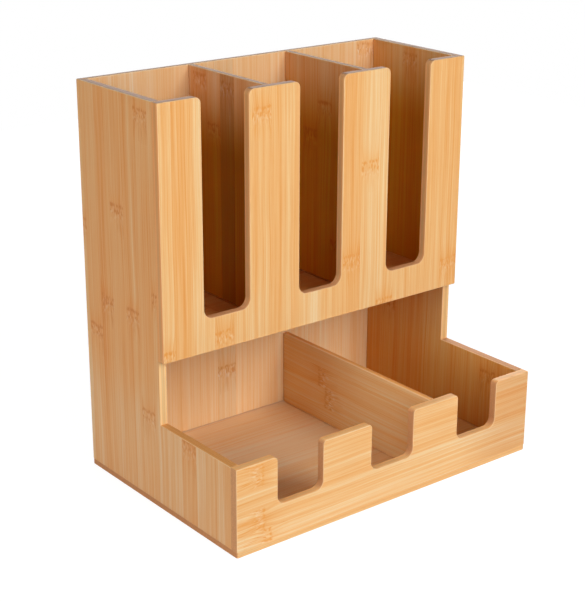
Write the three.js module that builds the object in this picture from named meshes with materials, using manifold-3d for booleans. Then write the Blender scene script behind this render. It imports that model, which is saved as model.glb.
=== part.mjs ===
// A counter-top holder made of bamboo boards: three tall compartments for stacks of cups,
// above a tray that one divider splits into two bins for sachets.
// The thick boards butt on each other and are located by hidden dowels.
// The thin boards are let into shallow grooves in their neighbours.
// Millimetres, +Z up. The open front faces -Y and the origin is under the middle of the base.
import * as THREE from "three";
import { mergeVertices } from "three/addons/utils/BufferGeometryUtils.js";
import Module from "manifold-3d";

// Overall sizes. Heights are measured from the table.
const WIDTH = 300;
const DEPTH = 200;
const HEIGHT = 320;
const CUP_DEPTH = 110; // from the back of the holder to the face of the cup front
const CUP_FRONT_BOTTOM = 123; // lower edge of the cup front
const CUP_FLOOR = 134; // top of the shelf that the cups stand on
const TRAY_HEIGHT = 71; // top of the tray's walls

// Board thicknesses
const SIDE_BOARD = 7;
const CUP_FRONT_BOARD = 7;
const TRAY_FRONT_BOARD = 7;
const BACK_BOARD = 5;
const SHELF_BOARD = 5;
const CUP_DIVIDER_BOARD = 5;
const TRAY_DIVIDER_BOARD = 5;
const BASE_BOARD = 4.5;
const EDGE_EASE = 0.6; // sanded-off arris along every edge

// Slots in the cup front and notches in the tray front, in the same three columns
const COLUMN_PITCH = 91;
const SLOT_WIDTH = 43;
const SLOT_BOTTOM = 150;
const SLOT_RADIUS = 8;
const SLOT_POST_RADIUS = 5;
const NOTCH_WIDTH = 43;
const NOTCH_BOTTOM = 31.5;
const NOTCH_RADIUS = 7;
const NOTCH_POST_RADIUS = 3.5;
const ARC_STEPS = 4;

// Place of the tray divider's middle plane, to the right of the holder's middle
const TRAY_DIVIDER_X = 47;

// Joints
const GLUE_LINE = 0.1; // gap between boards that butt on each other
const HOUSING_DEPTH = 2; // how far a thin board is let into its neighbour
const HOUSING_PLAY = 0.1; // clearance on each face of a let-in edge
const HOUSING_STOP = 15; // a divider's let-in ends stop this far below its top, so that they don't show
const DOWEL_DIAMETER = 4;
const DOWEL_LENGTH = 12;
const DOWEL_CHAMFER = 0.6;
const DOWEL_SKIN = 2; // board left between a dowel's end and the outer face
const DOWEL_PLAY = 0.1; // clearance round a dowel
const DOWEL_END_GAP = 0.4; // room for glue past each end of a dowel
const DOWEL_MARGIN = 15; // from the end of a joint to its first dowel
const DOWEL_SIDES = 16;
const CUP_FRONT_DOWELS = 3;
const TRAY_FRONT_DOWELS = 2;
const SIDE_BASE_DOWELS = 3;
const TRAY_FRONT_BASE_DOWELS = 3;

// Faces that the boards share
const SIDE_INNER = WIDTH / 2 - SIDE_BOARD;
const REAR = DEPTH / 2;
const BACK_INNER = REAR - BACK_BOARD;
const CUP_FACE = REAR - CUP_DEPTH;
const CUP_INNER = CUP_FACE + CUP_FRONT_BOARD;
const TRAY_FACE = -DEPTH / 2;
const TRAY_INNER = TRAY_FACE + TRAY_FRONT_BOARD;
const COLUMNS = [-1, 0, 1];
const CUP_DIVIDER_SIDES = { left: -1, right: 1 };
const CUP_WIDTH = (2 * SIDE_INNER - 2 * CUP_DIVIDER_BOARD) / COLUMNS.length;
const CUP_DIVIDER_X = (CUP_WIDTH + CUP_DIVIDER_BOARD) / 2;

const wasm = await Module();
wasm.setup();

// Materials: satin lacquered bamboo, lighter on the outer boards than inside
function bamboo(color) {
  return new THREE.MeshStandardMaterial({ color, roughness: 0.5, metalness: 0 });
}

function solidOf(geometry) {
  const bare = geometry.clone();
  bare.deleteAttribute("normal");
  bare.deleteAttribute("uv");
  const merged = mergeVertices(bare, 1e-4);
  return new wasm.Manifold(
    new wasm.Mesh({
      numProp: 3,
      vertProperties: new Float32Array(merged.attributes.position.array),
      triVerts: new Uint32Array(merged.index.array),
    }),
  );
}

function geometryOf(solid) {
  const mesh = solid.getMesh();
  const geometry = new THREE.BufferGeometry();
  geometry.setAttribute("position", new THREE.BufferAttribute(mesh.vertProperties, 3));
  geometry.setIndex(new THREE.BufferAttribute(mesh.triVerts, 1));
  geometry.computeVertexNormals();
  return geometry;
}

// Takes cutters, given in the holder's frame, out of a board that is already in its place
function cut(board, cutters) {
  board.updateMatrix();
  const toBoard = board.matrix.clone().invert();
  let solid = solidOf(board.geometry);
  for (const cutter of cutters) {
    solid = solid.subtract(solidOf(cutter.clone().applyMatrix4(toBoard)));
  }
  board.geometry = geometryOf(solid);
}

// A board with eased edges: its outline lies in X and Y and its thickness runs up Z
function board(name, outline, thickness, material) {
  const geometry = new THREE.ExtrudeGeometry(outline, {
    depth: thickness - 2 * EDGE_EASE,
    bevelThickness: EDGE_EASE,
    bevelSize: EDGE_EASE,
    bevelOffset: -EDGE_EASE,
    bevelSegments: 1,
    curveSegments: ARC_STEPS,
  });
  geometry.translate(0, 0, EDGE_EASE);
  const mesh = new THREE.Mesh(geometry, material);
  mesh.name = name;
  return mesh;
}

// A board across the holder: its outline is drawn in X and Z, and its thickness runs forwards
function acrossBoard(name, outline, thickness, rearFace, material) {
  const mesh = board(name, outline, thickness, material);
  mesh.rotation.x = Math.PI / 2;
  mesh.position.y = rearFace;
  return mesh;
}

// A board from front to back: its outline is drawn in Y and Z, and its thickness runs to the right
function lengthwiseBoard(name, outline, thickness, leftFace, material) {
  const mesh = board(name, outline, thickness, material);
  mesh.rotation.set(Math.PI / 2, Math.PI / 2, 0);
  mesh.position.x = leftFace;
  return mesh;
}

// A level board: its outline is drawn in X and Y
function levelBoard(name, outline, thickness, underside, material) {
  const mesh = board(name, outline, thickness, material);
  mesh.position.z = underside;
  return mesh;
}

function outlineOf(...corners) {
  return new THREE.Shape(corners.map(([across, up]) => new THREE.Vector2(across, up)));
}

function rectangle(left, low, right, high) {
  return outlineOf([left, low], [right, low], [right, high], [left, high]);
}

// The room that a let-in edge needs in its neighbours, between two corners
function housing(low, high) {
  const size = new THREE.Vector3().subVectors(high, low).addScalar(2 * HOUSING_PLAY);
  const middle = new THREE.Vector3().addVectors(low, high).multiplyScalar(0.5);
  return new THREE.BoxGeometry(size.x, size.y, size.z).translate(middle.x, middle.y, middle.z);
}

// Evenly spaced places from low to high
function spread(count, low, high) {
  return Array.from({ length: count }, (_, i) => low + ((high - low) * i) / (count - 1));
}

// Outline of a front with its openings: posts have rounded tops, openings have rounded bottoms
function openFront(low, high, opening) {
  const edge = WIDTH / 2;
  const quarter = Math.PI / 2;
  const front = new THREE.Shape();
  front.moveTo(-edge, low);
  front.lineTo(edge, low);
  front.lineTo(edge, high);
  for (const column of [...COLUMNS].reverse()) {
    const right = column * COLUMN_PITCH + opening.width / 2;
    const left = column * COLUMN_PITCH - opening.width / 2;
    const floor = opening.bottom + opening.radius;
    const shoulder = high - opening.postRadius;
    front.absarc(right + opening.postRadius, shoulder, opening.postRadius, quarter, 2 * quarter, false);
    front.absarc(right - opening.radius, floor, opening.radius, 0, -quarter, true);
    front.absarc(left + opening.radius, floor, opening.radius, -quarter, -2 * quarter, true);
    front.absarc(left - opening.postRadius, shoulder, opening.postRadius, 0, quarter, false);
  }
  front.lineTo(-edge, high);
  return front;
}

// A divider: its foot and its two ends are let in, and the ends stop short of its top
function divider(name, place, material) {
  const leftFace = place.x - place.thickness / 2;
  const stop = place.top - HOUSING_STOP;
  const foot = place.floor - HOUSING_DEPTH;
  const frontTongue = place.front - HOUSING_DEPTH;
  const backTongue = BACK_INNER + HOUSING_DEPTH;
  const frontEnd = place.front + GLUE_LINE;
  const backEnd = BACK_INNER - GLUE_LINE;
  const outline = outlineOf(
    [frontTongue, foot],
    [backTongue, foot],
    [backTongue, stop],
    [backEnd, stop],
    [backEnd, place.top],
    [frontEnd, place.top],
    [frontEnd, stop],
    [frontTongue, stop],
  );
  return {
    mesh: lengthwiseBoard(name, outline, place.thickness, leftFace, material),
    room: housing(
      new THREE.Vector3(leftFace, frontTongue, foot),
      new THREE.Vector3(leftFace + place.thickness, backTongue, stop),
    ),
  };
}

// A dowel between two corners of its axis, with the bore that holds it
const dowelMaterial = bamboo(0xc99a63);
function dowel(name, start, direction) {
  const radius = DOWEL_DIAMETER / 2;
  const half = DOWEL_LENGTH / 2;
  const profile = [
    new THREE.Vector2(0, -half),
    new THREE.Vector2(radius - DOWEL_CHAMFER, -half),
    new THREE.Vector2(radius, -half + DOWEL_CHAMFER),
    new THREE.Vector2(radius, half - DOWEL_CHAMFER),
    new THREE.Vector2(radius - DOWEL_CHAMFER, half),
    new THREE.Vector2(0, half),
  ];
  const mesh = new THREE.Mesh(new THREE.LatheGeometry(profile, DOWEL_SIDES), dowelMaterial);
  mesh.name = name;
  mesh.quaternion.setFromUnitVectors(new THREE.Vector3(0, 1, 0), direction);
  mesh.position.copy(start).addScaledVector(direction, half);
  mesh.updateMatrix();
  const boreRadius = radius + DOWEL_PLAY;
  const boreLength = DOWEL_LENGTH + 2 * DOWEL_END_GAP;
  const bore = new THREE.CylinderGeometry(boreRadius, boreRadius, boreLength, DOWEL_SIDES);
  return { mesh, bore: bore.applyMatrix4(mesh.matrix) };
}

// Boards
const outerBamboo = 0xe9b878;
const innerBamboo = 0xd8a266;
const floorBamboo = 0xcb955d;

const sideOutline = outlineOf(
  [TRAY_INNER + GLUE_LINE, BASE_BOARD + GLUE_LINE],
  [REAR, BASE_BOARD + GLUE_LINE],
  [REAR, HEIGHT],
  [CUP_INNER + GLUE_LINE, HEIGHT],
  [CUP_INNER + GLUE_LINE, TRAY_HEIGHT],
  [TRAY_INNER + GLUE_LINE, TRAY_HEIGHT],
);
const leftSide = lengthwiseBoard(
  "left_side_panel",
  sideOutline,
  SIDE_BOARD,
  -WIDTH / 2,
  bamboo(outerBamboo),
);

const backEdge = SIDE_INNER + HOUSING_DEPTH;
const backPanel = acrossBoard(
  "back_panel",
  rectangle(-backEdge, BASE_BOARD + GLUE_LINE, backEdge, HEIGHT),
  BACK_BOARD,
  REAR,
  bamboo(innerBamboo),
);
const backRoom = housing(
  new THREE.Vector3(-backEdge, BACK_INNER, BASE_BOARD),
  new THREE.Vector3(backEdge, REAR, HEIGHT),
);

const cupFront = acrossBoard(
  "cup_front_panel",
  openFront(CUP_FRONT_BOTTOM, HEIGHT, {
    width: SLOT_WIDTH,
    bottom: SLOT_BOTTOM,
    radius: SLOT_RADIUS,
    postRadius: SLOT_POST_RADIUS,
  }),
  CUP_FRONT_BOARD,
  CUP_INNER,
  bamboo(outerBamboo),
);

const trayFront = acrossBoard(
  "tray_front_panel",
  openFront(BASE_BOARD + GLUE_LINE, TRAY_HEIGHT, {
    width: NOTCH_WIDTH,
    bottom: NOTCH_BOTTOM,
    radius: NOTCH_RADIUS,
    postRadius: NOTCH_POST_RADIUS,
  }),
  TRAY_FRONT_BOARD,
  TRAY_INNER,
  bamboo(outerBamboo),
);

const shelfLow = new THREE.Vector3(-backEdge, CUP_INNER - HOUSING_DEPTH, CUP_FLOOR - SHELF_BOARD);
const shelfHigh = new THREE.Vector3(backEdge, BACK_INNER + HOUSING_DEPTH, CUP_FLOOR);
const cupShelf = levelBoard(
  "cup_shelf",
  rectangle(shelfLow.x, shelfLow.y, shelfHigh.x, shelfHigh.y),
  SHELF_BOARD,
  shelfLow.z,
  bamboo(innerBamboo),
);
const shelfRoom = housing(shelfLow, shelfHigh);

const base = levelBoard(
  "base_panel",
  rectangle(-WIDTH / 2, TRAY_FACE, WIDTH / 2, REAR),
  BASE_BOARD,
  0,
  bamboo(floorBamboo),
);

const cupDividers = Object.entries(CUP_DIVIDER_SIDES).map(([side, sign]) =>
  divider(
    `${side}_cup_divider`,
    {
      x: sign * CUP_DIVIDER_X,
      thickness: CUP_DIVIDER_BOARD,
      front: CUP_INNER,
      floor: CUP_FLOOR,
      top: HEIGHT,
    },
    bamboo(innerBamboo),
  ),
);
const trayDivider = divider(
  "tray_divider",
  {
    x: TRAY_DIVIDER_X,
    thickness: TRAY_DIVIDER_BOARD,
    front: TRAY_INNER,
    floor: BASE_BOARD,
    top: TRAY_HEIGHT,
  },
  bamboo(innerBamboo),
);

// Dowels. Those in an edge of a side lie in the middle of its thickness.
const backwards = new THREE.Vector3(0, 1, 0);
const upwards = new THREE.Vector3(0, 0, 1);
const sideMiddle = WIDTH / 2 - SIDE_BOARD / 2;
const hands = { left: -1, right: 1 };

function sideDowels(label, sign) {
  const x = sign * sideMiddle;
  const cupHeights = spread(CUP_FRONT_DOWELS, CUP_FLOOR + DOWEL_MARGIN, HEIGHT - DOWEL_MARGIN);
  const trayHeights = spread(TRAY_FRONT_DOWELS, BASE_BOARD + DOWEL_MARGIN, TRAY_HEIGHT - DOWEL_MARGIN);
  const baseDepths = spread(SIDE_BASE_DOWELS, TRAY_INNER + DOWEL_MARGIN, BACK_INNER - DOWEL_MARGIN);
  return {
    cup: cupHeights.map((z, i) =>
      dowel(`${label}_cup_front_dowel_${i + 1}`, new THREE.Vector3(x, CUP_FACE + DOWEL_SKIN, z), backwards),
    ),
    tray: trayHeights.map((z, i) =>
      dowel(`${label}_tray_front_dowel_${i + 1}`, new THREE.Vector3(x, TRAY_FACE + DOWEL_SKIN, z), backwards),
    ),
    base: baseDepths.map((y, i) =>
      dowel(`${label}_base_dowel_${i + 1}`, new THREE.Vector3(x, y, DOWEL_SKIN), upwards),
    ),
  };
}

const left = sideDowels("left", hands.left);
const right = sideDowels("right", hands.right);
const frontBaseEdge = SIDE_INNER - DOWEL_MARGIN;
const frontBase = spread(TRAY_FRONT_BASE_DOWELS, -frontBaseEdge, frontBaseEdge).map((x, i) => {
  const y = TRAY_FACE + TRAY_FRONT_BOARD / 2;
  return dowel(`front_base_dowel_${i + 1}`, new THREE.Vector3(x, y, DOWEL_SKIN), upwards);
});
const boresOf = (dowels) => dowels.map((one) => one.bore);

// Grooves and bores
const dividerRooms = cupDividers.map((one) => one.room);
cut(leftSide, [backRoom, shelfRoom, ...boresOf([...left.cup, ...left.tray, ...left.base])]);
cut(backPanel, [shelfRoom, ...dividerRooms, trayDivider.room]);
cut(cupFront, [shelfRoom, ...dividerRooms, ...boresOf([...left.cup, ...right.cup])]);
cut(trayFront, [trayDivider.room, ...boresOf([...left.tray, ...right.tray, ...frontBase])]);
cut(cupShelf, dividerRooms);
cut(base, [trayDivider.room, ...boresOf([...left.base, ...right.base, ...frontBase])]);

// The right side is the left one's mirror image, bores and grooves included
const rightSide = new THREE.Mesh(leftSide.geometry, bamboo(outerBamboo));
rightSide.name = "right_side_panel";
rightSide.rotation.copy(leftSide.rotation);
rightSide.position.x = WIDTH / 2;
rightSide.scale.z = -1;

const holder = new THREE.Group();
holder.add(base, leftSide, rightSide, backPanel, cupShelf, cupFront, trayFront);
holder.add(...cupDividers.map((one) => one.mesh), trayDivider.mesh);
for (const hand of [left, right]) {
  holder.add(...[...hand.cup, ...hand.tray, ...hand.base].map((one) => one.mesh));
}
holder.add(...frontBase.map((one) => one.mesh));

export default holder;
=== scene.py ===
import math
from dataclasses import dataclass

import bmesh
import bpy
from mathutils import Matrix, Vector


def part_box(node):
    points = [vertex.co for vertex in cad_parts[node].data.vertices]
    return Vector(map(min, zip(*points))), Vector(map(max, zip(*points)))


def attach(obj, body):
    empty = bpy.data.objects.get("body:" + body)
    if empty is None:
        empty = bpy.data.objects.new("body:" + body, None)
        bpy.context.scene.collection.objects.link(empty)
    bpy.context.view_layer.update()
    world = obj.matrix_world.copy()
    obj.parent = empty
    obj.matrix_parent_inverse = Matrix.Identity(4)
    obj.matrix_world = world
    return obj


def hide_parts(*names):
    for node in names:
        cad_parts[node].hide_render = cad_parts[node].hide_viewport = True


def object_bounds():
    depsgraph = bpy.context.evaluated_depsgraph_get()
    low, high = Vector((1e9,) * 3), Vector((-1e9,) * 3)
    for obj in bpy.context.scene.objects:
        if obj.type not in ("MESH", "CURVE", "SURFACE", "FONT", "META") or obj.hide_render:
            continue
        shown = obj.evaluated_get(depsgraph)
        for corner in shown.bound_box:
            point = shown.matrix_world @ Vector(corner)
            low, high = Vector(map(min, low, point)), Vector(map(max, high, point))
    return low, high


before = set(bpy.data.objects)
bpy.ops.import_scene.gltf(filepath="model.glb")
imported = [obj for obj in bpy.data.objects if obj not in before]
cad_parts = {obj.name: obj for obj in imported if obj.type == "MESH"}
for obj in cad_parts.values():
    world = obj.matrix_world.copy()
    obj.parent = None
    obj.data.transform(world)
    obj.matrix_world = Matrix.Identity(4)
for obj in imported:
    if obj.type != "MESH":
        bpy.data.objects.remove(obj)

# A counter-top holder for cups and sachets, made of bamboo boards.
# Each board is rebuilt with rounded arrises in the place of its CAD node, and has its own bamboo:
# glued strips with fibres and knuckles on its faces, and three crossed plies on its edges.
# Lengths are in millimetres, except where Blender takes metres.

CAD_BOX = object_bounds()
MM = 0.001
X, Y, Z = 0, 1, 2

# Camera of the photograph: place, direction and focal length, for an image of 585 by 602 pixels
CAMERA_PLACE = (-709.18, -868.47, 543.05)
CAMERA_AZIMUTH = -38.4171
CAMERA_ELEVATION = 19.8945
CAMERA_ROLL = 0.2339
CAMERA_LENS = 88.727
CAMERA_SENSOR = 36

# Sizes of the fronts' openings and of the boards' edges
COLUMN_PITCH = 91
ARC_STEPS = 12
ARRIS = 0.7
SOFT_ARRIS = 1.2
ARRIS_STEPS = 3
SHARPEST_ARC = math.radians(30)  # edges that turn by more than this are arrises
SHARPEST_BEND = math.radians(45)  # and what is still sharper when those are rounded is a corner
GLUE_LINE = 0.15
FOOT_GAP = 1.0  # the cup dividers stand a hair clear of their shelf
BACK_GAP = 0.6  # and the back a hair clear of the base
BASE_CORNER = 1.6
JOINT_REACH = 0.3
SAME_PLACE = 1e-7  # metres


@dataclass
class Opening:
    width: float
    bottom: float
    radius: float
    post_radius: float


SLOT = Opening(width=43, bottom=150, radius=8, post_radius=5)
NOTCH = Opening(width=43, bottom=31.5, radius=7, post_radius=3.5)


def box_mm(node):
    low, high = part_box(node)
    return low / MM, high / MM


SIDE_LOW, SIDE_HIGH = box_mm("left_side_panel")
RIGHT_LOW, RIGHT_HIGH = box_mm("right_side_panel")
BACK_LOW, BACK_HIGH = box_mm("back_panel")
_, CUP_HIGH = box_mm("cup_front_panel")
TRAY_LOW, TRAY_HIGH = box_mm("tray_front_panel")
SHELF_LOW, SHELF_HIGH = box_mm("cup_shelf")
BASE_LOW, BASE_HIGH = box_mm("base_panel")


# Outlines

def arc(centre, radius, start, end):
    """Points of an arc between two angles, in quarter turns."""
    angles = [math.pi / 2 * (start + (end - start) * i / ARC_STEPS) for i in range(ARC_STEPS + 1)]
    return [(centre[0] + radius * math.cos(a), centre[1] + radius * math.sin(a)) for a in angles]


def rectangle(left, low, right, high):
    return [(left, low), (right, low), (right, high), (left, high)]


def rounded(left, low, right, high, radius):
    return [
        *arc((left + radius, low + radius), radius, 2, 3),
        *arc((right - radius, low + radius), radius, 3, 4),
        *arc((right - radius, high - radius), radius, 0, 1),
        *arc((left + radius, high - radius), radius, 1, 2),
    ]


def open_front(low, high, opening):
    """A front with three openings: the posts have rounded tops, the openings rounded bottoms."""
    points = [(low[X], low[Z]), (high[X], low[Z]), (high[X], high[Z])]
    floor = opening.bottom + opening.radius
    shoulder = high[Z] - opening.post_radius
    for column in (1, 0, -1):
        right = column * COLUMN_PITCH + opening.width / 2
        left = column * COLUMN_PITCH - opening.width / 2
        points += arc((right + opening.post_radius, shoulder), opening.post_radius, 1, 2)
        points += arc((right - opening.radius, floor), opening.radius, 0, -1)
        points += arc((left + opening.radius, floor), opening.radius, -1, -2)
        points += arc((left - opening.post_radius, shoulder), opening.post_radius, 0, 1)
    return points + [(low[X], high[Z])]


def side_outline():
    cup = CUP_HIGH[Y] + GLUE_LINE
    tray = TRAY_HIGH[Y] + GLUE_LINE
    return [
        (tray, SIDE_LOW[Z]),
        (SIDE_HIGH[Y], SIDE_LOW[Z]),
        (SIDE_HIGH[Y], SIDE_HIGH[Z]),
        (cup, SIDE_HIGH[Z]),
        (cup, TRAY_HIGH[Z]),
        (tray, TRAY_HIGH[Z]),
    ]


# Meshes

def extruded(outline, axis, low, high):
    """A bmesh of an outline, drawn in the two other axes, between two places on an axis."""
    bm = bmesh.new()
    ends = []
    for place in (low, high):
        ring = []
        for first, second in outline:
            point = [first, second]
            point.insert(axis, place)
            ring.append(bm.verts.new(Vector(point) * MM))
        ends.append(ring)
    count = len(outline)
    for i in range(count):
        j = (i + 1) % count
        bm.faces.new((ends[0][i], ends[0][j], ends[1][j], ends[1][i]))
    bm.faces.new(ends[0])
    bm.faces.new(ends[1])
    bmesh.ops.remove_doubles(bm, verts=bm.verts, dist=SAME_PLACE)
    bmesh.ops.recalc_face_normals(bm, faces=bm.faces)
    return bm


def object_of(name, bm):
    mesh = bpy.data.meshes.new(name)
    bm.to_mesh(mesh)
    bm.free()
    piece = bpy.data.objects.new(name, mesh)
    bpy.context.scene.collection.objects.link(piece)
    return piece


def cut_out(piece, low, high):
    """Takes the room between two corners out of a piece."""
    outline = rectangle(low[X], low[Y], high[X], high[Y])
    cutter = object_of("cutter", extruded(outline, Z, low[Z], high[Z]))
    modifier = piece.modifiers.new("room", "BOOLEAN")
    modifier.operation = "DIFFERENCE"
    modifier.object = cutter
    shown = piece.evaluated_get(bpy.context.evaluated_depsgraph_get())
    whole = piece.data
    piece.data = bpy.data.meshes.new_from_object(shown)
    piece.data.name = piece.name
    piece.modifiers.clear()
    bpy.data.meshes.remove(whole)
    bpy.data.objects.remove(cutter)


def close_to(first, second):
    return abs(first - second) < JOINT_REACH


def is_flush(edge):
    """Whether an edge lies on the outside in a glued joint, where two boards were sanded flush."""
    ends = [vertex.co / MM for vertex in edge.verts]
    at_side = all(close_to(abs(end.x), RIGHT_HIGH[X]) for end in ends)
    at_front = all(close_to(end.y, TRAY_LOW[Y]) for end in ends)
    on_base = all(close_to(end.z, BASE_HIGH[Z]) for end in ends)
    rears = CUP_HIGH[Y], TRAY_HIGH[Y]
    behind_front = any(all(close_to(end.y, rear) for end in ends) for rear in rears)
    return (at_side or at_front) and on_base or at_side and behind_front


def round_arrises(piece, radius):
    """Rounds every outer edge of a board, as sanding does, but for its flush joints."""
    bm = bmesh.new()
    bm.from_mesh(piece.data)
    outer = [e for e in bm.edges if e.is_convex and e.calc_face_angle() > SHARPEST_ARC]
    sharp = [e for e in outer if not is_flush(e)]
    bmesh.ops.bevel(
        bm,
        geom=sharp,
        offset=radius * MM,
        segments=ARRIS_STEPS,
        profile=0.5,
        affect="EDGES",
        clamp_overlap=True,
    )
    for face in bm.faces:
        face.smooth = True
    for edge in bm.edges:
        edge.smooth = edge.calc_face_angle() < SHARPEST_BEND
    bm.to_mesh(piece.data)
    bm.free()
    piece.modifiers.new("flat faces", "WEIGHTED_NORMAL").keep_sharp = True


def board(name, node, outline, axis, low, high, rooms=(), arris=ARRIS):
    """A board that stands for a CAD node, with what is cut out of it."""
    piece = object_of(name, extruded(outline, axis, low, high))
    for room in rooms:
        cut_out(piece, *room)
    round_arrises(piece, arris)
    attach(piece, "root")
    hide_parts(node)
    return piece


# Boards

BACK_ROOM = (
    Vector((BACK_LOW[X] - GLUE_LINE, BACK_LOW[Y] - GLUE_LINE, BACK_LOW[Z] - ARRIS)),
    Vector((BACK_HIGH[X] + GLUE_LINE, BACK_HIGH[Y] + ARRIS, BACK_HIGH[Z] + ARRIS)),
)
LEFT_INNER = SIDE_HIGH[X] + GLUE_LINE
RIGHT_INNER = RIGHT_LOW[X] - GLUE_LINE
CUP_INNER = CUP_HIGH[Y] + GLUE_LINE
TRAY_INNER = TRAY_HIGH[Y] + GLUE_LINE
BACK_INNER = BACK_LOW[Y] - GLUE_LINE


def side(name, node):
    low, high = box_mm(node)
    return board(name, node, side_outline(), X, low[X], high[X], [BACK_ROOM])


def front(name, node, opening):
    low, high = box_mm(node)
    outline = open_front(low, high, opening)
    return board(name, node, outline, Y, low[Y], high[Y])


def divider(name, node, front_end, floor, arris=ARRIS):
    low, high = box_mm(node)
    outline = rectangle(front_end, floor, BACK_INNER, high[Z])
    return board(name, node, outline, X, low[X], high[X], arris=arris)


def make_boards():
    back = rectangle(BACK_LOW[X], BACK_LOW[Z] + BACK_GAP, BACK_HIGH[X], BACK_HIGH[Z])
    shelf = rectangle(LEFT_INNER, CUP_INNER, RIGHT_INNER, BACK_INNER)
    base = rounded(BASE_LOW[X], BASE_LOW[Y], BASE_HIGH[X], BASE_HIGH[Y], BASE_CORNER)
    cup_floor = SHELF_HIGH[Z] + FOOT_GAP
    tray_floor = BASE_HIGH[Z] + GLUE_LINE
    return {
        "left_side": side("left_side", "left_side_panel"),
        "right_side": side("right_side", "right_side_panel"),
        "back": board("back", "back_panel", back, Y, BACK_LOW[Y], BACK_HIGH[Y]),
        "cup_front": front("cup_front", "cup_front_panel", SLOT),
        "tray_front": front("tray_front", "tray_front_panel", NOTCH),
        "shelf": board("shelf", "cup_shelf", shelf, Z, SHELF_LOW[Z], SHELF_HIGH[Z]),
        "base": board("base", "base_panel", base, Z, BASE_LOW[Z], BASE_HIGH[Z]),
        "left_divider": divider("left_divider", "left_cup_divider", CUP_INNER, cup_floor),
        "right_divider": divider("right_divider", "right_cup_divider", CUP_INNER, cup_floor),
        "tray_divider": divider("tray_divider_board", "tray_divider", TRAY_INNER, tray_floor, SOFT_ARRIS),
    }


# Shader arithmetic

class Field:
    """A number or a colour that varies over a surface: a shader socket that can be reckoned with."""

    def __init__(self, tree, socket):
        self.tree = tree
        self.socket = socket

    def joined(self, operation, other=0.0, swapped=False):
        node = self.tree.nodes.new("ShaderNodeMath")
        node.operation = operation
        terms = (other, self) if swapped else (self, other)
        for socket, term in zip(node.inputs, terms):
            connect(self.tree, socket, term)
        return Field(self.tree, node.outputs[0])

    def __add__(self, other):
        return self.joined("ADD", other)

    def __sub__(self, other):
        return self.joined("SUBTRACT", other)

    def __rsub__(self, other):
        return self.joined("SUBTRACT", other, swapped=True)

    def __mul__(self, other):
        return self.joined("MULTIPLY", other)

    def __truediv__(self, other):
        return self.joined("DIVIDE", other)

    __radd__ = __add__
    __rmul__ = __mul__

    def floor(self):
        return self.joined("FLOOR")

    def fraction(self):
        return self.joined("FRACT")

    def size(self):
        return self.joined("ABSOLUTE")

    def power(self, exponent):
        return self.joined("POWER", exponent)

    def over(self, limit):
        return self.joined("GREATER_THAN", limit)

    def lesser(self, other):
        return self.joined("MINIMUM", other)

    def greater(self, other):
        return self.joined("MAXIMUM", other)

    def rise(self, low, high):
        """0 below low, 1 above high and smooth between them. With high below low it falls."""
        node = self.tree.nodes.new("ShaderNodeMapRange")
        node.interpolation_type = "SMOOTHSTEP"
        connect(self.tree, node.inputs["Value"], self)
        node.inputs["From Min"].default_value = low
        node.inputs["From Max"].default_value = high
        return Field(self.tree, node.outputs["Result"])

    def ridge(self, middle, width):
        """1 at middle, falling to 0 at this width to either side."""
        return (self - middle).size().rise(width, 0)


def connect(tree, socket, value):
    if isinstance(value, Field):
        tree.links.new(value.socket, socket)
    else:
        socket.default_value = value


def split(tree, socket):
    node = tree.nodes.new("ShaderNodeSeparateXYZ")
    tree.links.new(socket, node.inputs[0])
    return [Field(tree, output) for output in node.outputs]


def noise(tree, place, detail=2.0, roughness=0.5):
    """Smooth noise from 0 to 1 with features about one unit wide."""
    joiner = tree.nodes.new("ShaderNodeCombineXYZ")
    for socket, term in zip(joiner.inputs, place):
        connect(tree, socket, term)
    node = tree.nodes.new("ShaderNodeTexNoise")
    tree.links.new(joiner.outputs[0], node.inputs["Vector"])
    node.inputs["Scale"].default_value = 1.0
    node.inputs["Detail"].default_value = detail
    node.inputs["Roughness"].default_value = roughness
    return Field(tree, node.outputs[0])


def chance(tree, number):
    """A random number from 0 to 1 for each whole number."""
    node = tree.nodes.new("ShaderNodeTexWhiteNoise")
    node.noise_dimensions = "1D"
    connect(tree, node.inputs["W"], number)
    return Field(tree, node.outputs["Value"])


def blended(tree, share, first, second, how="MIX"):
    node = tree.nodes.new("ShaderNodeMix")
    node.data_type = "RGBA"
    node.blend_type = how
    connect(tree, node.inputs["Factor"], share)
    colours = [socket for socket in node.inputs if socket.type == "RGBA"]
    for socket, colour in zip(colours, (first, second)):
        connect(tree, socket, colour)
    return Field(tree, next(socket for socket in node.outputs if socket.type == "RGBA"))


def ramp(tree, position, stops, interpolation="LINEAR"):
    """A colour for each position from 0 to 1."""
    node = tree.nodes.new("ShaderNodeValToRGB")
    node.color_ramp.interpolation = interpolation
    elements = node.color_ramp.elements
    elements.remove(elements[1])
    for i, (place, colour) in enumerate(stops):
        element = elements[0] if i == 0 else elements.new(place)
        element.position = place
        element.color = colour
    connect(tree, node.inputs[0], position)
    return Field(tree, node.outputs["Color"])


def scaled(tree, colour, factor):
    """A colour times a number."""
    node = tree.nodes.new("ShaderNodeVectorMath")
    node.operation = "SCALE"
    connect(tree, node.inputs[0], colour)
    connect(tree, node.inputs["Scale"], factor)
    return Field(tree, node.outputs[0])


def tinted(colour, tint):
    return tuple(min(part * share, BRIGHTEST) for part, share in zip(colour, tint))


def tinted_stops(tint):
    return [(place, (*tinted(colour, tint), 1)) for place, colour in FIBRE_STOPS]


def opaque(colour):
    return (*colour, 1)


# Bamboo

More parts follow.
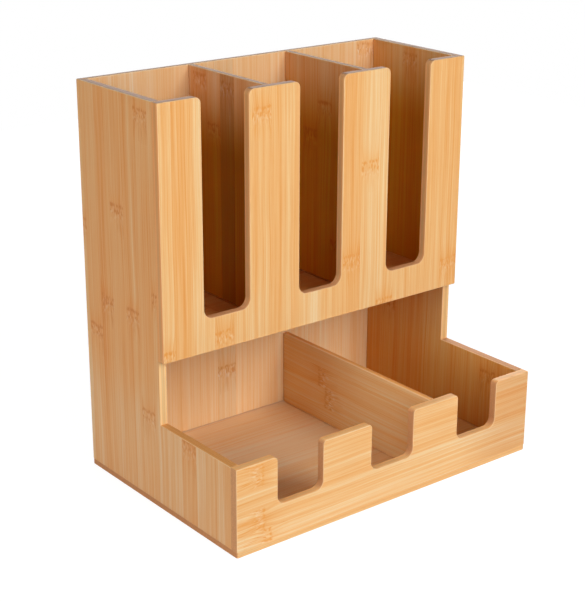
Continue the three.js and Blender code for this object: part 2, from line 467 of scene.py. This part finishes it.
STRIP = 18  # width of the glued strips
PLIES = 3
PLY_SEED = 37  # sets the random numbers of the plies apart
STRIP_SEED = 53  # and those of the strips
KNUCKLE_SEED = 11  # and a strip's knuckle from its tone
FIBRE_STOPS = (
    (0.0, (0.820, 0.330, 0.075)),
    (0.35, (0.870, 0.430, 0.140)),
    (0.6, (0.885, 0.500, 0.195)),
    (1.0, (0.910, 0.630, 0.320)),
)
BRIGHTEST = 0.97
KNUCKLE_GOLD = (0.830, 0.310, 0.052)
KNUCKLE_BROWN = (0.730, 0.262, 0.050)
KNUCKLE_PALE = (0.930, 0.680, 0.380)
END_GRAIN = (0.735, 0.365, 0.165)
END_GOLDEN = (0.760, 0.360, 0.115)
END_BROWN = (0.680, 0.312, 0.133)
END_GREY = (0.355, 0.190, 0.102)
END_DOT = 0.9  # width of the dots in the end grain
# paler arris colour: partly rubbed wood, partly a painted highlight along the edges
ARRIS_PALE = (0.960, 0.690, 0.400)
GLUE_WIDTH = 0.4
SEAM_BREAK = 35  # how long the stretches are where a seam shows
SEAM_STEP = 3.1  # and how far its noise moves on from strip to strip
DEEP = (316, 256)  # painted shade: heights between which the columns' inner faces are painted darker and deeper orange
SKIN = 0.01  # keeps the face itself inside its ply
FAR_AWAY = 1000  # no board reaches a knuckle at this distance

# How much each thing counts in the colour of the fibres
TONE_SHARE = 0.27
CLOUD_SHARE = 0.25
VESSEL_SHARE = 0.2
SEAM_SHARE = 0.3
KNUCKLE_SHARE = 0.2

# How far fibres wander, and what a knuckle does to them
WANDER = 6
KNUCKLE_REACH = 24
KNUCKLE_LIMIT = (30, 29)  # at this distance it is forgotten
OUT_OF_REACH = 100  # a height above a knuckle that none of its marks reach
KNUCKLE_BEND = 5
KNUCKLE_SHIFT = 5  # how ragged its line is
SCATTER_START, SCATTER_SPAN = -0.3, 1.6  # where random knuckles lie, in shares of a board's length

# Satin lacquer over open grain
LACQUER = 0.2
SOAKED = 0.75  # share of its shine that is lost on cut ends
SMOOTHEST = 0.44
ROUGHER = 0.12
RELIEF = 0.12
RELIEF_DEPTH = 0.2
FURROW = 0.5  # depth of vessels and seams in that relief


@dataclass
class Texture:
    """Noise in a board: the width and length of its features, and what sets its seed apart."""

    width: float
    length: float
    seeding: float
    shift: float = 0
    detail: float = 2
    roughness: float = 0.5


def fibre_texture(width, length):
    return Texture(width, length, seeding=0.77, shift=width, detail=4, roughness=0.6)


# Fibres of three sizes with their weights, and what else shows in the wood
FIBRES = ((fibre_texture(12, 500), 1.0), (fibre_texture(3, 320), 1.2), (fibre_texture(0.7, 130), 1.5))
WANDERING = Texture(60, 130, 2.3, detail=1)
CLOUDS = Texture(45, 90, 3.1)
VESSELS = Texture(0.45, 11, 1.3, detail=1)
PORES = Texture(0.8, 40, 4.1)
EDGE_FIBRES = Texture(0.9, 160, 5.3)
RAGGED = Texture(4.5, 14, 1.7)
GOLD_SPOTS = Texture(1.9, 4.5, 0.9)
PALE_SPOTS = Texture(1.7, 4.5, 0.9, shift=50)
STREAKS = Texture(1.6, 26, 0.31, detail=1)


@dataclass
class Mark:
    """A layer of a knuckle: its middle and reach along the fibres, and the noise that it shows at."""

    middle: float
    reach: float
    shows: tuple
    strength: float = 1


PALE_MARK = Mark(middle=-5, reach=10, shows=(0.45, 0.7), strength=0.6)
LINE_MARK = Mark(middle=1.5, reach=2.2, shows=(0.3, 0.6), strength=0.7)
SPOT_MARK = Mark(middle=-3, reach=8, shows=(0.47, 0.65), strength=0.85)
STREAK_MARK = Mark(middle=-13, reach=16, shows=(0.45, 0.72))
STRONGEST_MARK = 0.85


@dataclass
class Grain:
    """How a board was cut: the axis of its fibres, and the face that the strips are set out from."""

    along: int
    depth: int
    face: float
    thickness: float
    seed: int
    seam: float = 0  # place of one strip seam, across the fibres
    strip: float = STRIP
    knuckles: tuple = ()  # (across, along) of the knuckles on that face
    knuckle_colour: tuple = KNUCKLE_BROWN
    streaky: float = 0.5  # how strong the streaks below a knuckle are
    dark_strips: tuple = ()  # (across, shade) of strips on that face that are darker than the rest: a darker strip of wood on the left divider, painted shade on the back
    tint: tuple = (1, 1, 1)  # the board's own shade, on its faces
    edge_tint: tuple = (1, 1, 1)  # and on its long edges
    outer_tint: tuple = (1, 1, 1)  # a further shade of the long edges on the outside of the holder
    end: tuple = END_GRAIN
    grey_above: float = FAR_AWAY  # end grain above this height is grey
    deep_tint: tuple = (1, 1, 1)  # painted shade down in the cup columns, multiplied into the colour
    fade: tuple = (FAR_AWAY, FAR_AWAY + 1)  # where that face changes shade along the fibres; on the left side, right side and tray divider this is painted light and shade
    fade_tint: tuple = (1, 1, 1)
    ply_lines: float = 0.12  # how dark the crossed ply and the glue beside it are on the edges
    rubbed: float = 0.75  # how pale the arrises are: rubbed wood, and a painted highlight
    contrast: float = 1.0  # how far the fibres differ in colour


class Wood:
    """Where a point of a board lies in its plies, strips and fibres, and how near a knuckle is."""

    def __init__(self, tree, grain, low, high):
        coordinates = tree.nodes.new("ShaderNodeTexCoord")
        across_axis = X + Y + Z - grain.along - grain.depth
        to_low = abs(grain.face - low[grain.depth])
        to_high = abs(grain.face - high[grain.depth])
        inwards = 1 if to_low < to_high else -1
        self.tree = tree
        self.grain = grain
        self.sides = low[across_axis], high[across_axis]
        self.ends = low[grain.along], high[grain.along]
        self.place = [axis * (1 / MM) for axis in split(tree, coordinates.outputs["Object"])]
        self.normal = [axis.size() for axis in split(tree, coordinates.outputs["Normal"])]
        self.inside = 1 - self.place[X].size().over(RIGHT_LOW[X] + ARRIS)
        self.across = self.place[across_axis]
        self.along = self.place[grain.along]

        # the main face is in ply 0
        self.depth = (self.place[grain.depth] - grain.face) * inwards + SKIN
        self.ply = (self.depth * (PLIES / grain.thickness)).floor()
        self.hidden = self.ply.over(0.5)
        self.seed = self.ply * PLY_SEED + grain.seed
        strips = (self.across - grain.seam) / grain.strip
        self.strip = strips.floor()
        self.local = strips.fraction()
        self.number = self.strip + self.seed * STRIP_SEED

        # fibres bend a little at a knuckle, and wander
        self.nearness, self.height = self.knuckle()
        bend = (self.local - 0.5) * self.nearness.power(2) * KNUCKLE_BEND
        wander = (self.textured(WANDERING, self.across, self.seed) - 0.5) * WANDER
        self.fibre_across = self.across + bend + wander

        # short vessels, and seams that show in places
        self.vessel = self.textured(VESSELS, self.fibre_across, self.number).rise(0.66, 0.8)
        from_seam = self.local.lesser(1 - self.local) * grain.strip
        shows = noise(tree, (self.strip * SEAM_STEP, self.along / SEAM_BREAK, self.seed)).rise(0.35, 0.65)
        self.seam_line = from_seam.rise(0.6, 0.1) * shows

    def textured(self, texture, across, seed):
        code = seed * texture.seeding + texture.shift
        place = across / texture.width, self.along / texture.length, code
        return noise(self.tree, place, texture.detail, texture.roughness)

    def marked(self, mark, spots):
        return self.height.ridge(mark.middle, mark.reach) * spots.rise(*mark.shows) * mark.strength

    def strip_index(self, across):
        return math.floor((across - self.grain.seam) / self.grain.strip)

    def by_strip(self, chosen, usual):
        """A number from 0 to 1 for each strip: one chosen for a place in that strip, or the usual one."""
        first, last = (self.strip_index(side) for side in self.sides)
        count = last - first + 1
        values = [usual] * count
        for across, value in chosen:
            values[self.strip_index(across) - first] = value
        stops = [(i / count, (value, value, value, 1)) for i, value in enumerate(values)]
        return ramp(self.tree, (self.strip - first + 0.5) / count, stops, "CONSTANT")

    def knuckle_places(self):
        """The place along the fibres of each strip's first and second knuckle, for the main face."""
        firsts, seconds = {}, {}
        for across, along in self.grain.knuckles:
            index = self.strip_index(across)
            knots = seconds if index in firsts else firsts
            knots[index] = across, (along + FAR_AWAY) / (2 * FAR_AWAY)
        codes = [self.by_strip(knots.values(), 0) for knots in (firsts, seconds)]
        return [code * (2 * FAR_AWAY) - FAR_AWAY for code in codes]

    def knuckle(self):
        """How near a knuckle is, from 0 to 1, and how far above it a point lies.

        The main face has its chosen knuckles, and the other faces have random ones.
        """
        low, high = self.ends
        length = high - low
        places = self.knuckle_places()
        scattered = chance(self.tree, self.number + KNUCKLE_SEED) * (SCATTER_SPAN * length)
        scattered = scattered + (low + SCATTER_START * length)
        places[0] = places[0] * (1 - self.hidden) + scattered * self.hidden
        ragged = (self.textured(RAGGED, self.across, self.seed) - 0.5) * KNUCKLE_SHIFT
        above = [self.along - place + ragged for place in places]
        nearness = above[0].ridge(0, KNUCKLE_REACH).greater(above[1].ridge(0, KNUCKLE_REACH))
        felt = [height.size().rise(*KNUCKLE_LIMIT) * height for height in above]
        beyond = (1 - nearness.rise(0, 0.01)) * OUT_OF_REACH
        return nearness, felt[0] + felt[1] + beyond


def fibre_strength(wood):
    """How pale the fibres are, from 0 to 1. Each strip has a tone of its own."""
    contrast = wood.grain.contrast
    strength = 0.5
    for texture, weight in FIBRES:
        strength = (wood.textured(texture, wood.fibre_across, wood.number) - 0.5) * weight + strength
    strength = strength + (chance(wood.tree, wood.number) - 0.5) * TONE_SHARE
    strength = strength + (wood.textured(CLOUDS, wood.across, wood.seed) - 0.5) * CLOUD_SHARE
    strength = strength * contrast + 0.5 * (1 - contrast)
    strength = strength - wood.vessel * VESSEL_SHARE - wood.seam_line * SEAM_SHARE
    return strength - wood.nearness.power(2) * KNUCKLE_SHARE


def face_colour(wood):
    """Fibres, and knuckles: a broken line over soft golden and pale spots, with streaks below it."""
    tree, grain = wood.tree, wood.grain
    colour = ramp(tree, fibre_strength(wood), tinted_stops(grain.tint))
    gold_spots = wood.textured(GOLD_SPOTS, wood.fibre_across, wood.seed)
    pale_spots = wood.textured(PALE_SPOTS, wood.fibre_across, wood.seed)
    streaks = wood.textured(STREAKS, wood.fibre_across, wood.number)
    pale = opaque(tinted(KNUCKLE_PALE, grain.tint))
    gold = opaque(tinted(grain.knuckle_colour, grain.tint))
    golden = wood.marked(LINE_MARK, gold_spots) + wood.marked(SPOT_MARK, gold_spots)
    golden = golden + wood.marked(STREAK_MARK, streaks) * grain.streaky
    colour = blended(tree, wood.marked(PALE_MARK, pale_spots), colour, pale)
    return blended(tree, golden.lesser(STRONGEST_MARK), colour, gold)


def shaded(wood, colour):
    """A board may have dark strips, on the back painted shade; may change shade along its length, on some
    boards painted light and shade; and may be painted darker down in the cup columns as shade.
    """
    tree, grain = wood.tree, wood.grain
    height = wood.place[Z]
    if grain.dark_strips:
        # darker strips: darker wood on some boards, painted shade on the back
        shade = wood.by_strip(grain.dark_strips, 1)
        colour = scaled(tree, colour, shade.greater(wood.hidden))
    # a change of shade along the fibres, painted light and shade on some boards
    faded = wood.along.rise(*grain.fade) * (1 - wood.hidden)
    colour = blended(tree, faded, colour, opaque(grain.fade_tint), "MULTIPLY")
    # painted shade: the columns' inner faces grow darker and more orange towards the shelf
    deep = height.rise(*DEEP) * height.over(SHELF_LOW[Z]) * wood.inside
    return blended(tree, deep, colour, opaque(grain.deep_tint), "MULTIPLY")


def edge_colour(wood, end_share):
    """Long edges show the fibres of each ply, cut ends show dots, and all show the glue between plies."""
    tree, grain = wood.tree, wood.grain
    fibre = wood.textured(EDGE_FIBRES, wood.depth, wood.seed)
    side = ramp(tree, fibre * 1.2 - 0.12, tinted_stops(grain.edge_tint))
    side = scaled(tree, side, 1 - wood.ply.ridge(1, 1) * grain.ply_lines)
    side = blended(tree, 1 - wood.inside, side, opaque(grain.outer_tint), "MULTIPLY")

    dots = noise(tree, [axis / END_DOT for axis in (wood.across, wood.along, wood.depth)]).rise(0.35, 0.7)
    grey = wood.place[Z].rise(grain.grey_above - 1, grain.grey_above) * wood.normal[Z].rise(0.8, 0.98)
    end = blended(tree, grey, opaque(grain.end), opaque(END_GREY))
    end = scaled(tree, end, dots * 0.12 + 0.94)

    colour = blended(tree, end_share, side, end)
    glue = sum(wood.depth.ridge(grain.thickness * i / PLIES, GLUE_WIDTH) for i in range(1, PLIES))
    return scaled(tree, colour, 1 - glue * grain.ply_lines)


def bamboo(name, grain, low, high):
    """A bamboo board's material. Low and high are the board's corners."""
    material = bpy.data.materials.new(name)
    material.use_nodes = True
    tree = material.node_tree
    wood = Wood(tree, grain, low, high)
    flat = wood.normal[grain.depth]  # 1 on the faces and 0 on the edges
    end_share = wood.normal[grain.along].rise(0.2, 1.0)
    face = shaded(wood, face_colour(wood))
    colour = blended(tree, flat.rise(0.6, 0.85), edge_colour(wood, end_share), face)

    # rounded arrises are painted paler: partly rubbed wood, partly a painted highlight
    turning = flat.rise(0.2, 0.5) * flat.rise(0.98, 0.9)
    colour = blended(tree, turning * grain.rubbed, colour, opaque(ARRIS_PALE))

    # the cut ends soak up the lacquer
    pores = wood.textured(PORES, wood.fibre_across, wood.seed)
    bump = tree.nodes.new("ShaderNodeBump")
    bump.inputs["Strength"].default_value = RELIEF
    bump.inputs["Distance"].default_value = RELIEF_DEPTH * MM
    connect(tree, bump.inputs["Height"], pores - wood.vessel * FURROW - wood.seam_line * FURROW)
    shader = tree.nodes["Principled BSDF"]
    connect(tree, shader.inputs["Base Color"], colour)
    connect(tree, shader.inputs["Roughness"], pores * ROUGHER + SMOOTHEST)
    connect(tree, shader.inputs["Specular IOR Level"], LACQUER - end_share * (LACQUER * SOAKED))
    tree.links.new(bump.outputs["Normal"], shader.inputs["Normal"])
    return material


# Grain of each board, with the knuckles where the photograph shows them

GREY_FROM = CUP_HIGH[Z] - 20  # only the top edges' end grain takes the darker grey-brown colour


def sawn(node, along, depth, **looks):
    """The grain of a board. A flat board's main face is its upper one, else it faces left or front."""
    low, high = box_mm(node)
    face = high[Z] if depth == Z else low[depth]
    return Grain(along, depth, face, high[depth] - low[depth], **looks)


GRAINS = {
    "cup_front": sawn(
        "cup_front_panel",
        along=Z,
        depth=Y,
        seed=297,
        seam=-67,
        knuckles=((-58, 303), (50, 245), (32, 170), (140, 147), (-94, 135), (-148, 129), (68, 126)),
        knuckle_colour=KNUCKLE_GOLD,
        grey_above=GREY_FROM,
        tint=(0.98, 1.04, 1.12),
        edge_tint=(1.02, 1.01, 1.12),
        outer_tint=(0.98, 0.84, 0.72),
        rubbed=0.35,
    ),
    "left_side": sawn(
        "left_side_panel",
        along=Z,
        depth=X,
        seed=71,
        seam=4,
        knuckles=(
            (13, 310),
            (49, 231),
            (97, 209),
            (67, 153),
            (31, 152),
            (-5, 173),
            (85, 125),
            (11, 75),
            (-37, 68),
        ),
        grey_above=GREY_FROM,
        tint=(0.98, 0.9, 0.9),
        edge_tint=(1.11, 1.38, 1.82),
        end=END_GOLDEN,
        # painted light: the outer face is paler and less orange towards the bottom
        fade=(110, 60),
        fade_tint=(1.0, 1.1, 1.28),
    ),
    "right_side": sawn(
        "right_side_panel",
        along=Z,
        depth=X,
        seed=5,
        seam=3,
        knuckles=((50, 312), (-54, 57), (66, 88), (20, 190)),
        grey_above=GREY_FROM,
        tint=(0.86, 0.83, 0.8),
        edge_tint=(1.0, 1.07, 1.18),
        # painted shade down the inner face of the cup column
        deep_tint=(0.9, 0.79, 0.1),
        # painted shade: the inner face is darker and more orange towards the bottom
        fade=(140, 30),
        fade_tint=(0.96, 0.9, 0.6),
    ),
    "back": sawn(
        "back_panel",
        along=Z,
        depth=Y,
        seed=755,
        seam=-26.5,
        strip=18.9,
        knuckles=((-16, 53), (134, 315), (-80, 200), (56, 230), (20, 160)),
        # painted shade: the back's left strips are darker, as the left side shades them
        dark_strips=(
            (-141, 0.9),
            (-130, 0.9),
            (-111, 0.91),
            (-92, 0.92),
            (-73, 0.93),
            (-54, 0.94),
            (-35, 0.95),
            (-16, 0.91),
        ),
        grey_above=GREY_FROM,
        tint=(1.0, 1.16, 1.58),
        fade=(140, 120),
        fade_tint=(1.05, 1.15, 1.25),
        contrast=0.65,
    ),
    "left_divider": sawn(
        "left_cup_divider",
        along=Z,
        depth=X,
        seed=17,
        seam=34.5,
        knuckles=((44, 312), (83, 313), (64, 276), (10, 190)),
        dark_strips=((44, 0.78),),
        grey_above=GREY_FROM,
        tint=(0.89, 0.83, 0.97),
        # painted shade down in the cup columns
        deep_tint=(0.675, 0.555, 0.038),
    ),
    "right_divider": sawn(
        "right_cup_divider",
        along=Z,
        depth=X,
        seed=23,
        seam=34,
        knuckles=((43, 284), (58, 259), (20, 170)),
        grey_above=GREY_FROM,
        tint=(0.83, 0.73, 0.76),
        # painted shade down in the cup columns
        deep_tint=(0.9, 0.82, 0.09),
    ),
    "tray_divider": sawn(
        "tray_divider",
        along=Y,
        depth=X,
        seed=29,
        seam=19,
        knuckles=((44, 43), (23, 34)),
        tint=(0.96, 1.17, 1.52),
        ply_lines=0.06,
        edge_tint=(1.06, 0.97, 0.8),
        # painted light: the face is paler towards the front
        fade=(10, -90),
        fade_tint=(1.08, 1.11, 1.14),
        contrast=0.8,
    ),
    "tray_front": sawn(
        "tray_front_panel",
        along=X,
        depth=Y,
        seed=185,
        seam=16,
        knuckles=((61, -128), (26, -127), (10, -121)),
        knuckle_colour=KNUCKLE_GOLD,
        streaky=0.9,
        tint=(1.0, 1.1, 1.28),
        edge_tint=(1.17, 1.16, 1.28),
        ply_lines=0.08,
        rubbed=0.5,
        fade=(60, 130),
        fade_tint=(0.87, 0.79, 0.75),
    ),
    "shelf": sawn(
        "cup_shelf",
        along=X,
        depth=Z,
        seed=41,
        knuckles=((40, -70), (20, 90)),
        tint=(0.7, 0.55, 0.4),
    ),
    "base": sawn(
        "base_panel",
        along=X,
        depth=Z,
        seed=388,
        seam=5,
        knuckles=((60, 110), (-30, 95)),
        tint=(1.02, 1.31, 2.05),
        edge_tint=(0.97, 1.03, 1.12),
        ply_lines=0.04,
        rubbed=0.3,
        end=END_BROWN,
        fade=(60, 110),
        fade_tint=(0.9, 0.78, 0.55),
        contrast=0.62,
    ),
}


DOWEL_FIBRE = (0.5, 3, 0.5)
DOWEL_ROUGHNESS = 0.6


def dowel_bamboo():
    """The hidden dowels: plain bamboo with short fibres."""
    material = bpy.data.materials.new("dowel_bamboo")
    material.use_nodes = True
    tree = material.node_tree
    coordinates = tree.nodes.new("ShaderNodeTexCoord")
    place = [axis * (1 / MM) for axis in split(tree, coordinates.outputs["Object"])]
    fibres = noise(tree, [axis / size for axis, size in zip(place, DOWEL_FIBRE)])
    shader = tree.nodes["Principled BSDF"]
    tree.links.new(ramp(tree, fibres, tinted_stops((1, 1, 1))).socket, shader.inputs["Base Color"])
    shader.inputs["Roughness"].default_value = DOWEL_ROUGHNESS
    return material


def dress(boards):
    for name, piece in boards.items():
        corners = [Vector(corner) for corner in piece.bound_box]
        low = [min(corner[axis] for corner in corners) / MM for axis in (X, Y, Z)]
        high = [max(corner[axis] for corner in corners) / MM for axis in (X, Y, Z)]
        piece.data.materials.clear()
        piece.data.materials.append(bamboo(name + "_bamboo", GRAINS[name], low, high))
    dowels = dowel_bamboo()
    for name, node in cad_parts.items():
        if "dowel" in name:
            for slot in node.material_slots:
                slot.link = "OBJECT"
                slot.material = dowels


# Stage, light and camera

FLOOR_SIZE = 2400
FLOOR_THICKNESS = 1
FLOOR_GAP = 0.2
FLOOR_COLOUR = (0.85, 0.85, 0.85, 1)
FLOOR_GLOW = 0.93  # what the camera sees of the floor where no lamp reaches
FLOOR_SHADE = (0.2, 0.2, 0.2, 1)  # the floor's own shading that the camera sees on top of that
AMBIENT = 0.03
LAMP_DISTANCE = 2.0  # metres


@dataclass
class Lamp:
    azimuth: float
    elevation: float
    power: float
    width: float
    height: float


LAMPS = {
    "key": Lamp(azimuth=8, elevation=30, power=24.1, width=1.0, height=1.0),
    "low": Lamp(azimuth=-12, elevation=9, power=6.2, width=1.2, height=0.6),
    "top": Lamp(azimuth=-20, elevation=72, power=2.8, width=1.4, height=1.4),
    "fill": Lamp(azimuth=-80, elevation=17, power=14.4, width=1.0, height=1.4),
    "rear": Lamp(azimuth=140, elevation=12, power=22, width=1.4, height=1.2),
}


def seen_directly(tree):
    """1 for rays that look at a thing itself or at its mirror image, 0 for those that light others."""
    path = tree.nodes.new("ShaderNodeLightPath")
    names = "Is Camera Ray", "Is Glossy Ray", "Is Transmission Ray"
    camera, glossy, through = (Field(tree, path.outputs[name]) for name in names)
    return camera.greater(glossy).greater(through)


def make_floor():
    half = FLOOR_SIZE / 2
    outline = rectangle(-half, -half, half, half)
    floor = object_of("floor", extruded(outline, Z, -FLOOR_GAP - FLOOR_THICKNESS, -FLOOR_GAP))
    material = bpy.data.materials.new("floor")
    material.use_nodes = True
    tree = material.node_tree
    tree.nodes.clear()
    pale = tree.nodes.new("ShaderNodeBsdfDiffuse")
    pale.inputs["Color"].default_value = FLOOR_COLOUR
    shade = tree.nodes.new("ShaderNodeBsdfDiffuse")
    shade.inputs["Color"].default_value = FLOOR_SHADE
    glow = tree.nodes.new("ShaderNodeEmission")
    glow.inputs["Strength"].default_value = FLOOR_GLOW
    seen = tree.nodes.new("ShaderNodeAddShader")
    either = tree.nodes.new("ShaderNodeMixShader")
    output = tree.nodes.new("ShaderNodeOutputMaterial")
    tree.links.new(shade.outputs[0], seen.inputs[0])
    tree.links.new(glow.outputs[0], seen.inputs[1])
    connect(tree, either.inputs[0], seen_directly(tree))
    tree.links.new(pale.outputs[0], either.inputs[1])
    tree.links.new(seen.outputs[0], either.inputs[2])
    tree.links.new(either.outputs[0], output.inputs["Surface"])
    floor.data.materials.append(material)


def make_world():
    world = bpy.data.worlds.new("studio")
    world.use_nodes = True
    tree = world.node_tree
    background = tree.nodes["Background"]
    background.inputs["Color"].default_value = (1, 1, 1, 1)
    strength = seen_directly(tree) * (1 - AMBIENT) + AMBIENT
    tree.links.new(strength.socket, background.inputs["Strength"])
    bpy.context.scene.world = world


def direction(azimuth, elevation):
    """From the holder towards a viewer or a lamp. Azimuth 0 is straight in front."""
    turn, rise = math.radians(azimuth), math.radians(elevation)
    return Vector((math.sin(turn) * math.cos(rise), -math.cos(turn) * math.cos(rise), math.sin(rise)))


def make_lamps():
    aim = (CAD_BOX[0] + CAD_BOX[1]) / 2
    for name, lamp in LAMPS.items():
        data = bpy.data.lights.new(name, "AREA")
        data.shape = "RECTANGLE"
        data.energy = lamp.power
        data.size = lamp.width
        data.size_y = lamp.height
        placed = bpy.data.objects.new(name, data)
        bpy.context.scene.collection.objects.link(placed)
        towards = direction(lamp.azimuth, lamp.elevation)
        placed.location = aim + towards * LAMP_DISTANCE
        placed.rotation_euler = towards.to_track_quat("Z", "Y").to_euler()


def make_camera():
    data = bpy.data.cameras.new("camera")
    data.lens = CAMERA_LENS
    data.sensor_width = CAMERA_SENSOR
    camera = bpy.data.objects.new("camera", data)
    bpy.context.scene.collection.objects.link(camera)
    back = direction(CAMERA_AZIMUTH, CAMERA_ELEVATION)
    level = Vector((math.cos(math.radians(CAMERA_AZIMUTH)), math.sin(math.radians(CAMERA_AZIMUTH)), 0))
    upright = back.cross(level)
    roll = math.radians(CAMERA_ROLL)
    right = level * math.cos(roll) + upright * math.sin(roll)
    up = upright * math.cos(roll) - level * math.sin(roll)
    turned = Matrix((right, up, back)).transposed().to_4x4()
    camera.matrix_world = Matrix.Translation(Vector(CAMERA_PLACE) * MM) @ turned
    bpy.context.scene.camera = camera


bpy.context.scene.view_settings.view_transform = "Standard"
make_camera()
make_world()
make_floor()
make_lamps()
dress(make_boards())
